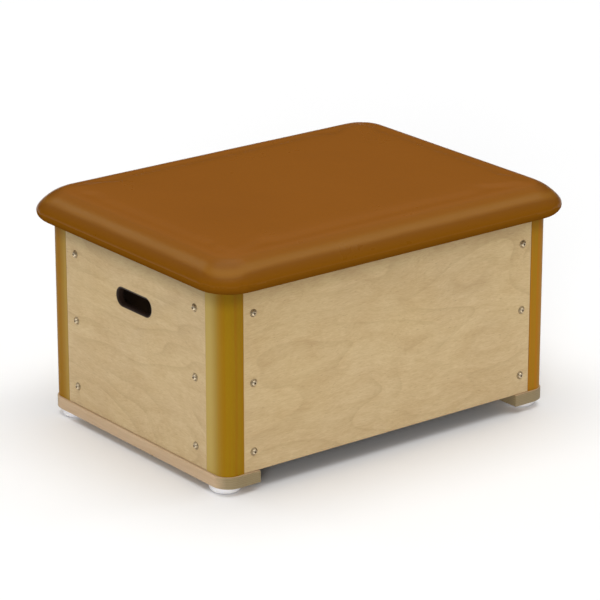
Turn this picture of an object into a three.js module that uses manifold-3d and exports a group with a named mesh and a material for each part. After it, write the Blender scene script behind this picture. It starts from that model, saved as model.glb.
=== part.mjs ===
// A single-section vaulting box: a padded top on an open-bottomed plywood carcass,
// with rounded corner posts, a rail under each end and four rubber feet.
// Millimetres. +X runs along the box, +Y towards its back, +Z up.
// The origin is the centre of the footprint, on the floor.

import * as THREE from "three";
import { mergeVertices } from "three/addons/utils/BufferGeometryUtils.js";
import Module from "manifold-3d";

const wasm = await Module();
wasm.setup();

// Driving dimensions
const body_length = 760; // over the posts, along X
const body_width = 548; // over the posts, along Y
const panel_height = 352;
const panel_thickness = 15;
const rail_thickness = 23;
const foot_height = 15;
const pad_end_overhang = 36; // of the padded top past the posts, at the ends
const pad_side_overhang = 39; // and along the sides
const seat_gap = 0.3; // left between pieces that bear on each other
const cut_overrun = 5; // how far a cutter runs past the face that it opens
const weld_distance = 0.0001; // corners closer than this are one corner
const fullest_round_share = 0.98; // of half a rectangle's width, for its corner radius

// Heights of the main levels above the floor
const rail_level = foot_height;
const body_level = rail_level + rail_thickness;
const deck_level = body_level + panel_height;

// Corner post section, measured from the box's outer corner
const post_face_x = 43; // what shows of the post on the long sides
const post_face_y = 54; // what shows of it on the ends
const post_tongue_x = 44; // how far it runs on behind a long panel
const post_tongue_y = 54; // and behind an end panel
const post_round = 26;
const post_side_wall = 20; // thickness at the end of the tongue behind a long panel
const post_end_wall = 25; // and behind an end panel
const post_round_steps = 8;

// Panels
const panel_ease = 1; // chamfer round the panel's faces
const side_screw_edge = 22; // screw to the panel's edge, on the long sides
const end_screw_edge = 32; // and on the ends
const screw_low = 38; // lowest screw above the panel's bottom edge
const screw_high = 52; // highest screw below its top edge
const screws_in_column = 3;

// Hand holes through the end panels
const hand_hole_length = 104;
const hand_hole_height = 30;
const hand_hole_corner = 13;
const hand_hole_drop = 94; // its centre below the panel's top edge
const hand_hole_round = 3; // rounding of its rim on both faces
const hand_hole_steps = 6;
const rim_steps = 3;

// Rails under the ends
const rail_reach = 77; // from the box's end inwards
const rail_proud = 4; // how far it stands out past the posts
const rail_corner = 34;
const rail_ease = 1;
const rail_corner_steps = 10;

// Rubber feet
const foot_radius = 30;
const foot_dome_width = 8; // from its side in to the flat face on the floor
const foot_rim = 3; // straight part of its side under the rail
const foot_inset_x = 29; // its centre from the box's ends
const foot_inset_y = 38; // and from its sides
const foot_recess_play = 1.5; // round the washer in the recess
const foot_head_depth = 3; // from the floor up to the screw's head
const foot_dome_steps = 4;
const foot_segments = 20;

// Padded top
const cover_thickness = 2;
const board_thickness = 15;
const board_margin = 4; // from the board's edge to where the turned-under leather starts
const pad_corner = 70; // plan radius of the padded top
const tuck_width = 18; // how far the edge draws in below its widest line
const tuck_height = 20;
const tuck_steps = 4;
const shoulder_width = 54; // of the rounded shoulder over the widest line, seen from above
const shoulder_height = 39;
const shoulder_slope_share = 0.65; // 1 gives an ellipse, less slopes the shoulder inwards
const shoulder_steps = 7;
const crown = 4; // rise from the shoulder to the middle of the top
const crown_ring_shares = [0.12, 0.35, 0.65, 0.96]; // of the way from shoulder to middle
const flap_gap = 8; // from the turned-in cover to the posts
const pad_corner_steps = 7;
const least_corner = 3; // no ring of the top has a smaller plan radius

// Cleats that hold the top down on the carcass
const cleat_height = 34;
const cleat_depth = 22;
const top_screw_end_gap = 90; // from the end of a cleat along a side to its screw

// Fasteners: each has a round shank with a point, and a head on a face
const hole_clearance = 0.5; // radial, round every shank
const hole_runout = 3; // left past a screw's point
const hole_segments = 12;
const screw_segments = 10;
const point_length = 5;
const panel_screw = { shank: 2.25, bite: 19, head: 4.4, dome: 3.4, washer: 8, washer_height: 1.6 };
const foot_screw = { shank: 2.5, bite: 23, head: 5, dome: 2.8, washer: 7.5, washer_height: 1.2 };
const rail_screw = { shank: 2.5, bite: 27, head: 4.9, sink: 3.2 };
const top_screw = { shank: 2.25, bite: 8.5, head: 4.2, dome: 2.6, washer: 6.5, washer_height: 1 };
const rail_screw_wall = 17; // from the end panel's inner face to the rail screw
const rail_screw_edge = 13; // from the end of the post's tongue to it

// Values worked out from the ones above
const half_length = body_length / 2;
const half_width = body_width / 2;
const pad_half_x = half_length + pad_end_overhang;
const pad_half_y = half_width + pad_side_overhang;
const post_reach_x = post_face_x + post_tongue_x;
const post_reach_y = post_face_y + post_tongue_y;
const side_screw_inset = post_face_x + side_screw_edge;
const end_screw_inset = post_face_y + end_screw_edge;
const behind_panel = panel_thickness + seat_gap; // where the posts' tongues and the cleats start
const rail_screw_x = behind_panel + rail_screw_wall;
const rail_screw_y = post_reach_y - rail_screw_edge;
const foot_floor_radius = foot_radius - foot_dome_width;
const foot_recess_radius = foot_screw.washer + foot_recess_play;
const foot_recess_depth = foot_head_depth + foot_screw.dome + foot_screw.washer_height;
const panel_screw_length = panel_thickness + panel_screw.bite;
const foot_screw_length = body_level - foot_recess_depth + foot_screw.bite;
const rail_screw_length = rail_thickness + rail_screw.bite;
const top_screw_length = cleat_height + top_screw.bite;
const side_cleat_length = 2 * (half_length - post_reach_x - seat_gap);
const end_cleat_length = 2 * (half_width - post_reach_y - seat_gap);
const side_cleat_screw_x = side_cleat_length / 2 - top_screw_end_gap;
const screw_pitch = (panel_height - screw_low - screw_high) / (screws_in_column - 1);
const screw_levels = Array.from({ length: screws_in_column }, (_, i) => screw_low + i * screw_pitch);
const cover_level = deck_level - seat_gap - cover_thickness; // of the turned-under leather
const widest_level = cover_level + tuck_height;
const board_inset = tuck_width + cover_thickness + board_margin; // from the pad's widest line

// Materials
const finish = (name, color, roughness, metalness = 0) =>
  new THREE.MeshStandardMaterial({ name, color, roughness, metalness });
const birch = finish("birch_ply", 0xc9b083, 0.55);
const golden_wood = finish("post_wood", 0x9a7016, 0.4);
const rail_wood = finish("rail_wood", 0xb39a75, 0.6);
const pale_timber = finish("cleat_timber", 0xc8a877, 0.7);
const leather = finish("leather", 0x8d561d, 0.45);
const foam_stuff = finish("foam", 0xe6dfc6, 0.95);
const white_rubber = finish("white_rubber", 0xdadada, 0.6);
const steel = finish("steel", 0xb9b6ae, 0.35, 0.9);

// Solids and cuts
function solidOf(geometry) {
  const bare = geometry.clone();
  bare.deleteAttribute("normal");
  bare.deleteAttribute("uv");
  const merged = mergeVertices(bare, weld_distance);
  return new wasm.Manifold(
    new wasm.Mesh({
      numProp: 3,
      vertProperties: merged.attributes.position.array,
      triVerts: new Uint32Array(merged.index.array),
    }),
  );
}

function geometryOf(solid) {
  const { numProp, numVert, vertProperties, triVerts } = solid.getMesh();
  const places = new Float32Array(numVert * 3);
  for (let i = 0; i < numVert; i++) {
    places.set(vertProperties.subarray(i * numProp, i * numProp + 3), i * 3);
  }
  const geometry = new THREE.BufferGeometry();
  geometry.setAttribute("position", new THREE.BufferAttribute(places, 3));
  geometry.setIndex(new THREE.BufferAttribute(triVerts, 1));
  const faceted = geometry.toNonIndexed();
  faceted.computeVertexNormals();
  return faceted;
}

function cut(geometry, cutters) {
  const whole = solidOf(geometry);
  return geometryOf(cutters.reduce((solid, cutter) => solid.subtract(solidOf(cutter)), whole));
}

// An anticlockwise rectangle with rounded corners, centred on the origin.
function roundedRectangle(half_x, half_y, corner, steps) {
  const radius = Math.min(corner, fullest_round_share * Math.min(half_x, half_y));
  const points = [];
  const corners = [[1, 1], [-1, 1], [-1, -1], [1, -1]];
  corners.forEach(([sx, sy], quarter) => {
    for (let i = 0; i <= steps; i++) {
      const angle = (Math.PI / 2) * (quarter + i / steps);
      points.push(new THREE.Vector2(
        sx * (half_x - radius) + radius * Math.cos(angle),
        sy * (half_y - radius) + radius * Math.sin(angle),
      ));
    }
  });
  return points;
}

// A closed solid through outlines of equal point count, stacked from the lowest to the highest.
function loft(levels) {
  const count = levels[0].outline.length;
  const places = levels.flatMap(({ outline, z }) => outline.flatMap((p) => [p.x, p.y, z]));
  const faces = [];
  for (let level = 0; level + 1 < levels.length; level++) {
    for (let i = 0; i < count; i++) {
      const a = level * count + i;
      const b = level * count + ((i + 1) % count);
      faces.push(a, b, b + count, a, b + count, a + count);
    }
  }
  const top = (levels.length - 1) * count;
  const caps = (level) => THREE.ShapeUtils.triangulateShape(levels[level].outline, []);
  caps(0).forEach(([a, b, c]) => faces.push(a, c, b));
  caps(levels.length - 1).forEach(([a, b, c]) => faces.push(top + a, top + b, top + c));
  const geometry = new THREE.BufferGeometry();
  geometry.setAttribute("position", new THREE.Float32BufferAttribute(places, 3));
  geometry.setIndex(faces);
  geometry.computeVertexNormals();
  return geometry;
}

// A round hole's cutter along an axis, starting at a face and running in by depth.
function bore(radius, depth, axis, [x, y, z]) {
  const length = depth + cut_overrun;
  const geometry = new THREE.CylinderGeometry(radius, radius, length, hole_segments);
  geometry.translate(0, (depth - cut_overrun) / 2, 0);
  if (axis === "x") geometry.rotateZ(-Math.PI / 2);
  if (axis === "z") geometry.rotateX(Math.PI / 2);
  return geometry.translate(x, y, z);
}

function holeFor(screw) {
  return screw.shank + hole_clearance;
}

// Corner post: a rounded nose that shows between the panels, and two tongues behind them.
function postGeometry() {
  const section = new THREE.Shape();
  section.moveTo(post_round, 0);
  section.lineTo(post_face_x, 0);
  section.lineTo(post_face_x, behind_panel);
  section.lineTo(post_reach_x, behind_panel);
  section.lineTo(post_reach_x, behind_panel + post_side_wall);
  section.lineTo(behind_panel + post_end_wall, post_reach_y);
  section.lineTo(behind_panel, post_reach_y);
  section.lineTo(behind_panel, post_face_y);
  section.lineTo(0, post_face_y);
  section.lineTo(0, post_round);
  section.absarc(post_round, post_round, post_round, Math.PI, 1.5 * Math.PI, false);
  const post = new THREE.ExtrudeGeometry(section, {
    depth: panel_height - seat_gap,
    bevelEnabled: false,
    curveSegments: post_round_steps,
  });
  const panel_hole = holeFor(panel_screw);
  const depth = panel_screw_length + hole_runout;
  const panel_holes = screw_levels.flatMap((level) => [
    bore(panel_hole, depth, "y", [side_screw_inset, 0, level]),
    bore(panel_hole, depth, "x", [0, end_screw_inset, level]),
  ]);
  return cut(post, [
    ...panel_holes,
    bore(holeFor(foot_screw), foot_screw.bite + hole_runout, "z", [foot_inset_x, foot_inset_y, 0]),
    bore(holeFor(rail_screw), rail_screw.bite + hole_runout, "z", [rail_screw_x, rail_screw_y, 0]),
  ]);
}

// A panel that stands with its outer face towards -Y, its middle at x = 0 and its foot at z = 0.
function panelGeometry(length, screw_places) {
  const height = panel_height - seat_gap;
  const sheet = new THREE.Shape();
  sheet.moveTo(-length / 2, 0);
  sheet.lineTo(length / 2, 0);
  sheet.lineTo(length / 2, height);
  sheet.lineTo(-length / 2, height);
  sheet.closePath();
  const panel = new THREE.ExtrudeGeometry(sheet, {
    depth: panel_thickness - 2 * panel_ease,
    bevelThickness: panel_ease,
    bevelSize: panel_ease,
    bevelOffset: -panel_ease,
    bevelSegments: 1,
  });
  panel.translate(0, 0, panel_ease);
  panel.rotateX(Math.PI / 2);
  const through = panel_thickness + cut_overrun;
  const holes = screw_places.flatMap((x) =>
    screw_levels.map((level) => bore(holeFor(panel_screw), through, "y", [x, -panel_thickness, level])),
  );
  return cut(panel, holes);
}

// The hand hole's cutter, flared at both faces so that it leaves a rounded rim.
function handHoleCutter() {
  const flare = (grow, z) => ({
    outline: roundedRectangle(
      hand_hole_length / 2 + grow,
      hand_hole_height / 2 + grow,
      hand_hole_corner + grow,
      hand_hole_steps,
    ),
    z,
  });
  const levels = [flare(hand_hole_round, -cut_overrun)];
  for (let i = 0; i <= rim_steps; i++) {
    const angle = (Math.PI / 2) * (i / rim_steps);
    levels.push(flare(hand_hole_round * (1 - Math.sin(angle)), hand_hole_round * (1 - Math.cos(angle))));
  }
  for (let i = rim_steps; i >= 0; i--) {
    const angle = (Math.PI / 2) * (i / rim_steps);
    const depth = panel_thickness - hand_hole_round * (1 - Math.cos(angle));
    levels.push(flare(hand_hole_round * (1 - Math.sin(angle)), depth));
  }
  levels.push(flare(hand_hole_round, panel_thickness + cut_overrun));
  const cutter = loft(levels);
  cutter.rotateX(Math.PI / 2);
  return cutter.translate(0, 0, panel_height - hand_hole_drop);
}

// A rail under an end, drawn from the box's outer corner line: x runs inwards, y is centred.
function railGeometry() {
  const outer_x = -rail_proud;
  const outer_y = half_width + rail_proud;
  const plan = new THREE.Shape();
  plan.moveTo(rail_reach, -outer_y);
  plan.lineTo(rail_reach, outer_y);
  plan.lineTo(outer_x + rail_corner, outer_y);
  plan.absarc(outer_x + rail_corner, outer_y - rail_corner, rail_corner, Math.PI / 2, Math.PI, false);
  plan.lineTo(outer_x, rail_corner - outer_y);
  plan.absarc(outer_x + rail_corner, rail_corner - outer_y, rail_corner, Math.PI, 1.5 * Math.PI, false);
  const rail = new THREE.ExtrudeGeometry(plan, {
    depth: rail_thickness - seat_gap - 2 * rail_ease,
    bevelThickness: rail_ease,
    bevelSize: rail_ease,
    bevelOffset: -rail_ease,
    bevelSegments: 1,
    curveSegments: rail_corner_steps,
  });
  rail.translate(0, 0, rail_ease);
  const through = rail_thickness + cut_overrun;
  const holes = [-1, 1].flatMap((side) => [
    bore(holeFor(foot_screw), through, "z", [foot_inset_x, side * (half_width - foot_inset_y), 0]),
    bore(holeFor(rail_screw), through, "z", [rail_screw_x, side * (half_width - rail_screw_y), 0]),
    countersink([rail_screw_x, side * (half_width - rail_screw_y), 0]),
  ]);
  return cut(rail, holes);
}

// The flared mouth that takes a flat-headed rail screw, open downwards.
function countersink([x, y, z]) {
  const mouth = rail_screw.head + hole_clearance;
  const throat = holeFor(rail_screw);
  const slope = rail_screw.sink + hole_clearance;
  const points = [
    new THREE.Vector2(0, -cut_overrun),
    new THREE.Vector2(mouth, -cut_overrun),
    new THREE.Vector2(mouth, hole_clearance),
    new THREE.Vector2(throat, slope),
    new THREE.Vector2(0, slope),
  ];
  const cutter = new THREE.LatheGeometry(points, hole_segments);
  cutter.rotateX(Math.PI / 2);
  return cutter.translate(x, y, z);
}

// A domed rubber foot, its flat face on the floor and a deep recess for its screw.
function footGeometry() {
  const top = foot_height - seat_gap;
  const hole = holeFor(foot_screw);
  const dome_height = top - foot_rim;
  const points = [
    new THREE.Vector2(hole, foot_recess_depth),
    new THREE.Vector2(foot_recess_radius, foot_recess_depth),
    new THREE.Vector2(foot_recess_radius, 0),
  ];
  for (let i = 0; i <= foot_dome_steps; i++) {
    const angle = (Math.PI / 2) * (i / foot_dome_steps);
    points.push(new THREE.Vector2(
      foot_floor_radius + (foot_radius - foot_floor_radius) * Math.sin(angle),
      dome_height * (1 - Math.cos(angle)),
    ));
  }
  points.push(new THREE.Vector2(foot_radius, top));
  points.push(new THREE.Vector2(hole, top));
  points.push(points[0].clone());
  const foot = new THREE.LatheGeometry(points, foot_segments);
  foot.rotateX(Math.PI / 2);
  return foot;
}

// A round-headed screw with the washer under its head, standing on y = 0 with its point down.
function domedScrew({ shank, head, dome, washer, washer_height }, length) {
  const neck = washer_height / 2;
  return new THREE.LatheGeometry([
    new THREE.Vector2(0, -length),
    new THREE.Vector2(shank, point_length - length),
    new THREE.Vector2(shank, 0),
    new THREE.Vector2(washer, 0),
    new THREE.Vector2(washer, neck),
    new THREE.Vector2(head, washer_height),
    new THREE.Vector2(head * Math.SQRT1_2, washer_height + dome * Math.SQRT1_2),
    new THREE.Vector2(0, washer_height + dome),
  ], screw_segments);
}

// A countersunk screw whose flat head is flush with y = 0.
function flatScrew({ shank, head, sink }, length) {
  return new THREE.LatheGeometry([
    new THREE.Vector2(0, -length),
    new THREE.Vector2(shank, point_length - length),
    new THREE.Vector2(shank, -sink),
    new THREE.Vector2(head, 0),
    new THREE.Vector2(0, 0),
  ], screw_segments);
}

// One outline of the padded top, shrunk by inset from its widest line.
function padOutline(inset) {
  const radius = Math.max(pad_corner - inset, least_corner);
  return roundedRectangle(pad_half_x - inset, pad_half_y - inset, radius, pad_corner_steps);
}

// The padded shape from its underside to its crown, at a depth of skin under the leather.
function padLevels(skin) {
  const levels = [];
  for (let i = 0; i < tuck_steps; i++) {
    const angle = (Math.PI / 2) * (i / tuck_steps);
    const inset = skin + tuck_width * (1 - Math.sin(angle));
    levels.push({ outline: padOutline(inset), z: widest_level - (tuck_height - skin) * Math.cos(angle) });
  }
  const width = shoulder_width - skin;
  const height = shoulder_height - skin;
  for (let i = 0; i <= shoulder_steps; i++) {
    const angle = (Math.PI / 2) * (i / shoulder_steps);
    const inset = skin + width * (1 - Math.cos(angle)) ** shoulder_slope_share;
    levels.push({ outline: padOutline(inset), z: widest_level + height * Math.sin(angle) });
  }
  const middle = pad_half_y - shoulder_width - least_corner;
  crown_ring_shares.forEach((share) => {
    const rise = crown * (1 - (1 - share) ** 2);
    levels.push({ outline: padOutline(shoulder_width + share * middle), z: widest_level + height + rise });
  });
  return levels;
}

// The foam fills the leather and wraps down round the board's edge.
function foamGeometry() {
  const pocket = padOutline(board_inset - seat_gap);
  return cut(loft(padLevels(cover_thickness + seat_gap)), [
    loft([
      { outline: pocket, z: deck_level - cut_overrun },
      { outline: pocket, z: deck_level + board_thickness + seat_gap },
    ]),
  ]);
}

function boardGeometry() {
  const outline = padOutline(board_inset);
  const board = loft([{ outline, z: 0 }, { outline, z: board_thickness }]);
  const depth = top_screw.bite + hole_runout;
  return cut(board, topScrewPlaces().map(({ x, y }) => bore(holeFor(top_screw), depth, "z", [x, y, 0])));
}

// The leather: a skin over foam and board, turned under the board's edge and open beneath.
function coverGeometry() {
  const mouth = roundedRectangle(
    half_length + flap_gap,
    half_width + flap_gap,
    post_round + flap_gap,
    pad_corner_steps,
  );
  return cut(loft(padLevels(0)), [
    loft(padLevels(cover_thickness)),
    loft([
      { outline: mouth, z: cover_level - cut_overrun },
      { outline: mouth, z: cover_level + cut_overrun },
    ]),
  ]);
}

// Where the screws that hold the top stand, seen from above.
function topScrewPlaces() {
  const from_wall = behind_panel + cleat_depth / 2;
  const side_y = half_width - from_wall;
  const end_x = half_length - from_wall;
  return [
    { name: "top_screw_front_left", x: -side_cleat_screw_x, y: -side_y },
    { name: "top_screw_front_right", x: side_cleat_screw_x, y: -side_y },
    { name: "top_screw_back_left", x: -side_cleat_screw_x, y: side_y },
    { name: "top_screw_back_right", x: side_cleat_screw_x, y: side_y },
    { name: "top_screw_left_end", x: -end_x, y: 0 },
    { name: "top_screw_right_end", x: end_x, y: 0 },
  ];
}

// A cleat against a panel's inner face, its top level with the panel's, drilled for its screws.
function cleatGeometry(length, screw_places) {
  const cleat = new THREE.BoxGeometry(length, cleat_depth, cleat_height);
  cleat.translate(0, 0, -cleat_height / 2);
  return cut(cleat, screw_places.map((x) =>
    bore(holeFor(top_screw), cleat_height + cut_overrun, "z", [x, 0, -cleat_height]),
  ));
}

const box = new THREE.Group();

function add(parent, name, geometry, material, [x, y, z]) {
  const mesh = new THREE.Mesh(geometry, material);
  mesh.name = name;
  mesh.position.set(x, y, z);
  parent.add(mesh);
  return mesh;
}

// Screws from below stand on their heads.
function turnUp(screw) {
  screw.rotation.x = -Math.PI / 2;
}

// Four walls. Each is built with its outer face towards -Y and turned into place.
const side_length = body_length - 2 * (post_face_x + seat_gap);
const end_length = body_width - 2 * (post_face_y + seat_gap);
const side_screw_x = half_length - side_screw_inset;
const end_screw_x = half_width - end_screw_inset;
const side_panel = panelGeometry(side_length, [-side_screw_x, side_screw_x]);
const end_panel = cut(panelGeometry(end_length, [-end_screw_x, end_screw_x]), [handHoleCutter()]);
const side_cleat = cleatGeometry(side_cleat_length, [-side_cleat_screw_x, side_cleat_screw_x]);
const end_cleat = cleatGeometry(end_cleat_length, [0]);
const panel_screw_geometry = domedScrew(panel_screw, panel_screw_length);

const sides = { reach: half_width, panel: side_panel, cleat: side_cleat, screw_x: side_screw_x };
const ends = { reach: half_length, panel: end_panel, cleat: end_cleat, screw_x: end_screw_x };
const walls = [
  { name: "front", turn: 0, ...sides },
  { name: "back", turn: Math.PI, ...sides },
  { name: "left", turn: -Math.PI / 2, ...ends },
  { name: "right", turn: Math.PI / 2, ...ends },
];

walls.forEach(({ name, turn, reach, panel, cleat, screw_x }) => {
  const wall = new THREE.Group();
  wall.rotation.z = turn;
  wall.position.z = body_level;
  box.add(wall);
  add(wall, `${name}_panel`, panel, birch, [0, panel_thickness - reach, 0]);
  const cleat_y = behind_panel + cleat_depth / 2 - reach;
  add(wall, `${name}_cleat`, cleat, pale_timber, [0, cleat_y, panel_height - seat_gap]);
  [["left", -screw_x], ["right", screw_x]].forEach(([side, x]) => {
    screw_levels.forEach((level, i) => {
      const screw_name = `${name}_panel_screw_${side}_${i + 1}`;
      const place = [x, -reach - seat_gap, level];
      add(wall, screw_name, panel_screw_geometry, steel, place).rotation.x = Math.PI;
    });
  });
});

// Corners: a post, a foot and their screws, drawn for the front left corner and mirrored.
const post = postGeometry();
const foot = footGeometry();
const foot_screw_geometry = domedScrew(foot_screw, foot_screw_length);
const rail_screw_geometry = flatScrew(rail_screw, rail_screw_length);
const rail = railGeometry();

[["left", 1], ["right", -1]].forEach(([end, sx]) => {
  const rail_mesh = add(box, `${end}_rail`, rail, rail_wood, [-sx * half_length, 0, rail_level]);
  rail_mesh.scale.x = sx;
  [["front", 1], ["back", -1]].forEach(([side, sy]) => {
    const corner = new THREE.Group();
    corner.position.set(-sx * half_length, -sy * half_width, 0);
    corner.scale.set(sx, sy, 1);
    box.add(corner);
    const name = `${side}_${end}`;
    add(corner, `${name}_post`, post, golden_wood, [0, 0, body_level]);
    add(corner, `${name}_foot`, foot, white_rubber, [foot_inset_x, foot_inset_y, 0]);
    const foot_screw_seat = [foot_inset_x, foot_inset_y, foot_recess_depth - seat_gap];
    const rail_screw_seat = [rail_screw_x, rail_screw_y, rail_level];
    turnUp(add(corner, `${name}_foot_screw`, foot_screw_geometry, steel, foot_screw_seat));
    turnUp(add(corner, `${name}_rail_screw`, rail_screw_geometry, steel, rail_screw_seat));
  });
});

// Padded top
add(box, "pad_board", boardGeometry(), birch, [0, 0, deck_level]);
add(box, "pad_foam", foamGeometry(), foam_stuff, [0, 0, 0]);
add(box, "pad_cover", coverGeometry(), leather, [0, 0, 0]);
const top_screw_geometry = domedScrew(top_screw, top_screw_length);
topScrewPlaces().forEach(({ name, x, y }) => {
  const level = deck_level - seat_gap - cleat_height - seat_gap;
  turnUp(add(box, name, top_screw_geometry, steel, [x, y, level]));
});

export default box;
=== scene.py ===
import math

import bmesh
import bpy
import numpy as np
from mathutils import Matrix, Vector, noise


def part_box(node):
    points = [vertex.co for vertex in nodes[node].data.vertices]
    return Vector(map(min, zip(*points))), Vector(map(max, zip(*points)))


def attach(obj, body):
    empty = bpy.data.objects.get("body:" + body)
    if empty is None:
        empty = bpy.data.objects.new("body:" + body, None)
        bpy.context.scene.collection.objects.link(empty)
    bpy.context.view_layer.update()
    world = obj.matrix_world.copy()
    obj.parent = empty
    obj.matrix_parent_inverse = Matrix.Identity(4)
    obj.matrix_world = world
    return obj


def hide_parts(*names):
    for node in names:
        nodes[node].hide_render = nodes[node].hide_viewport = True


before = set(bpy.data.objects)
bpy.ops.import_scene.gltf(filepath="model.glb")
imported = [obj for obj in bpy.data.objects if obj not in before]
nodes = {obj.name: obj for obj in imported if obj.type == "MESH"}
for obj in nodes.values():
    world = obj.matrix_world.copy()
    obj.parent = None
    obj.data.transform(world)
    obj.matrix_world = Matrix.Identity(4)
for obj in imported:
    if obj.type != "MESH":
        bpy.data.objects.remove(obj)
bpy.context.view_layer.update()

# %% [markdown]
# # A padded vaulting box
#
# The box comes ready as a fixed frame: panels, posts, rails, feet, cleats and screws, each at its real size
# and place. This lesson dresses it. Most pieces only need a finish. The padded leather top, the feet and the
# panel screws are made anew in finer form, each on the place that the frame gives it.
#
# Everything is in metres, with +Z up and the box standing on z = 0 under its own centre.

MM = 0.001

# %% [markdown]
# ## Camera and light
#
# A product is photographed from far away with a long lens, which keeps upright edges parallel. The camera
# could be placed by eye, but a place, two angles and a focal length in pixels say it exactly, and Blender's
# lens follows from the sensor width.

# %% The camera
def put_in_scene(name, data):
    made = bpy.data.objects.new(name, data)
    bpy.context.scene.collection.objects.link(made)
    return made


def aim(made, azimuth, drop):
    """Turns a camera or lamp to look along a line: azimuth 0 looks along +Y, the drop is below level."""
    turn, fall = math.radians(azimuth), math.radians(drop)
    line = Vector((math.sin(turn) * math.cos(fall), math.cos(turn) * math.cos(fall), -math.sin(fall)))
    made.rotation_mode = "QUATERNION"
    made.rotation_quaternion = line.to_track_quat("-Z", "Y")
    return line


image_side = 600
focal_pixels = 3208.4
sensor_width = 36.0
camera_azimuth, camera_drop = 37.701, 19.328
camera_place = Vector((-3495.8, -4523.5, 2223.8)) * MM

camera_data = bpy.data.cameras.new("camera")
camera_data.sensor_width = sensor_width
camera_data.lens = focal_pixels * sensor_width / image_side
camera = put_in_scene("camera", camera_data)
camera.location = camera_place
aim(camera, camera_azimuth, camera_drop)
bpy.context.scene.camera = camera
print("lens", round(camera_data.lens, 1), "mm, distance", round(camera_place.length, 2), "m")

# %% [markdown]
# The picture is a catalogue shot: both visible walls are equally bright, the ground is white and the only
# shade lies under the overhang. Large area lights could do that, but then every size and distance has to be
# tuned. Far lights are simpler: a low soft one on the near corner fills both walls, one from above whitens
# the ground, and two small ones, from the right and from behind, draw the pale bands on the leather's
# shoulders.

# %% A white floor
floor_half = 14.0
floor_mesh = bpy.data.meshes.new("studio_floor")
floor_corners = [(-floor_half, -floor_half, 0), (floor_half, -floor_half, 0),
                 (floor_half, floor_half, 0), (-floor_half, floor_half, 0)]
floor_mesh.from_pydata(floor_corners, [], [(0, 1, 2, 3)])
floor = put_in_scene("studio_floor", floor_mesh)
print("floor", 2 * floor_half, "m across")


# %% Soft lights
def soft_sun(name, azimuth, elevation, spread, share):
    """A far light. Azimuth 0 is in front of the box, 90 on its left. A share of 1 makes white paper white."""
    data = bpy.data.lights.new(name, "SUN")
    data.energy = math.pi * share
    data.angle = math.radians(spread)
    lamp = put_in_scene(name, data)
    lamp.location = -3 * aim(lamp, azimuth, elevation)
    return lamp


lights = [
    soft_sun("light_key", 43, 16, 20, 0.37),
    soft_sun("light_top", 0, 89, 60, 0.49),
    soft_sun("light_right", -71, 52, 12, 0.045),
    soft_sun("light_back", 164, 39, 12, 0.03),
]

# A low light on a glossy top would turn it white when seen from behind, so the key gives no gloss.
lights[0].visible_glossy = False
print("lights", [lamp.name for lamp in lights])

# %% [markdown]
# The sky is bright above and dim at the horizon, so that gloss seen at a flat angle does not turn milky, and
# plain white where the camera sees it. It is a tree of nodes, as every finish will be, and a few helpers keep
# such trees short.

# %% Helpers for node trees
def add_node(tree, kind, sockets=(), **settings):
    """Adds a node. Each socket row is (name or number, value or a socket to link from)."""
    made = tree.nodes.new(kind)
    for name, value in settings.items():
        setattr(made, name, value)
    for name, value in sockets:
        if isinstance(value, bpy.types.NodeSocket):
            tree.links.new(value, made.inputs[name])
        else:
            made.inputs[name].default_value = value
    return made


def add_math(tree, operation, first, second=0.0):
    return add_node(tree, "ShaderNodeMath", [(0, first), (1, second)], operation=operation).outputs[0]


def plus(tree, first, second):
    return add_math(tree, "ADD", first, second)


def minus(tree, first, second):
    return add_math(tree, "SUBTRACT", first, second)


def times(tree, first, second):
    return add_math(tree, "MULTIPLY", first, second)


def add_vector(tree, operation, *vectors):
    return add_node(tree, "ShaderNodeVectorMath", enumerate(vectors), operation=operation).outputs


def add_range(tree, value, low, high, to_low=0.0, to_high=1.0, shape="LINEAR"):
    rows = [("Value", value), ("From Min", low), ("From Max", high), ("To Min", to_low), ("To Max", to_high)]
    return add_node(tree, "ShaderNodeMapRange", rows, interpolation_type=shape).outputs["Result"]


def add_mix(tree, share, first, second, blend="MIX"):
    rows = [(0, share), (6, first), (7, second)]
    return add_node(tree, "ShaderNodeMix", rows, data_type="RGBA", blend_type=blend).outputs[2]


def split_xyz(tree, vector):
    return add_node(tree, "ShaderNodeSeparateXYZ", [(0, vector)]).outputs


def combine_xyz(tree, **parts):
    return add_node(tree, "ShaderNodeCombineXYZ", parts.items()).outputs[0]


print("node helpers ready")

# %% The sky
sky_dim, sky_bright = 0.05, 0.88
sky_dim_to, sky_bright_from = 0.3, 0.85
world = bpy.data.worlds.new("studio")
bpy.context.scene.world = world
world.use_nodes = True
sky = world.node_tree
sky.nodes.clear()
sky_height = split_xyz(sky, add_node(sky, "ShaderNodeTexCoord").outputs["Generated"])["Z"]
sky_strength = add_range(sky, sky_height, sky_dim_to, sky_bright_from, sky_dim, sky_bright)
sky_glow = add_node(sky, "ShaderNodeBackground", [("Strength", sky_strength)])
sky_white = add_node(sky, "ShaderNodeBackground", [("Color", (1.0, 1.0, 1.0, 1.0))])
seen = add_node(sky, "ShaderNodeLightPath").outputs["Is Camera Ray"]
sky_mix = add_node(sky, "ShaderNodeMixShader",
                   [("Fac", seen), (1, sky_glow.outputs[0]), (2, sky_white.outputs[0])])
add_node(sky, "ShaderNodeOutputWorld", [("Surface", sky_mix.outputs[0])])
bpy.context.scene.view_settings.view_transform = "Standard"
print("sky from", sky_dim, "at the horizon to", sky_bright, "above")

# %% [markdown]
# ## Shader building blocks
#
# Every finish is worked out from the place of each point, without pictures. An effect that more than one
# finish needs is a node group with named inputs and outputs, which each material places with its own values.

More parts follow.
